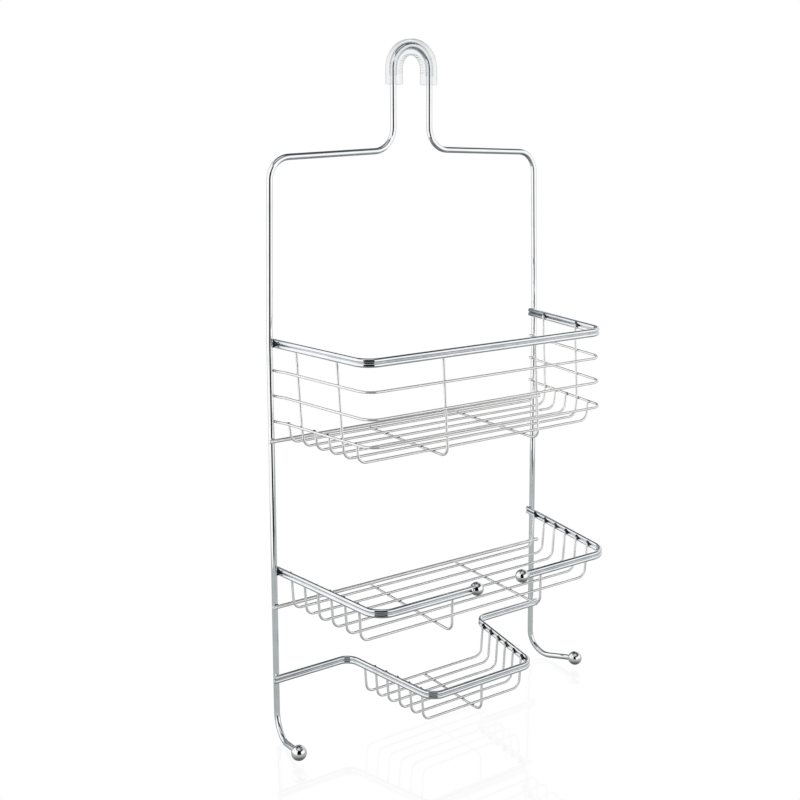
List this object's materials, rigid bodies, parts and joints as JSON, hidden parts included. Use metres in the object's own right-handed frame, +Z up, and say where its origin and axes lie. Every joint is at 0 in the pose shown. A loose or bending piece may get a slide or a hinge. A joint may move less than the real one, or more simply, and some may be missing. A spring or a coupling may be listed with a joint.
{
  "type": "shower caddy",
  "caption": "Chromed wire shower caddy that hangs over a shower arm: deep basket, tray with a razor gap, soap dish and ball-tipped hooks.",
  "frame": {"origin": "the saddle: the top of the sleeve's inner arch, on the middle plane, where the sleeve rests on the shower arm", "axes": "+X to the caddy's right as seen in use, -Y to the front, where the shelves stand out, +Y to the wall, +Z up"},
  "size_m": [0.3184, 0.1307, 0.5721],
  "materials": {
    "chrome": "polished chrome plating on steel wire",
    "clear_vinyl": "soft clear vinyl, moulded with ribs across its inner face"
  },
  "bodies": {
    "root": {"basket_back_bar": "chrome", "basket_cross_left": "chrome", "basket_cross_right": "chrome", "basket_floor_1": "chrome", "basket_floor_2": "chrome", "basket_floor_3": "chrome", "basket_floor_4": "chrome", "basket_floor_5": "chrome", "basket_floor_6": "chrome", "basket_guard_lower": "chrome", "basket_guard_middle": "chrome", "basket_guard_upper": "chrome", "basket_rail_lower": "chrome", "basket_rail_upper": "chrome", "dish_cross": "chrome", "dish_floor_1": "chrome", "dish_floor_2": "chrome", "dish_floor_3": "chrome", "dish_floor_4": "chrome", "dish_floor_5": "chrome", "dish_floor_6": "chrome", "dish_rail_lower": "chrome", "dish_rail_upper": "chrome", "frame_rod": "chrome", "grip_sleeve": "clear_vinyl", "hook_ball_left": "chrome", "hook_ball_right": "chrome", "tray_back_bar": "chrome", "tray_ball_left": "chrome", "tray_ball_right": "chrome", "tray_cross_left": "chrome", "tray_cross_right": "chrome", "tray_floor_1": "chrome", "tray_floor_2": "chrome", "tray_floor_3": "chrome", "tray_floor_4": "chrome", "tray_floor_5": "chrome", "tray_floor_6": "chrome", "tray_rail_left_lower": "chrome", "tray_rail_left_upper": "chrome", "tray_rail_right_lower": "chrome", "tray_rail_right_upper": "chrome"}
  },
  "joints": []
}
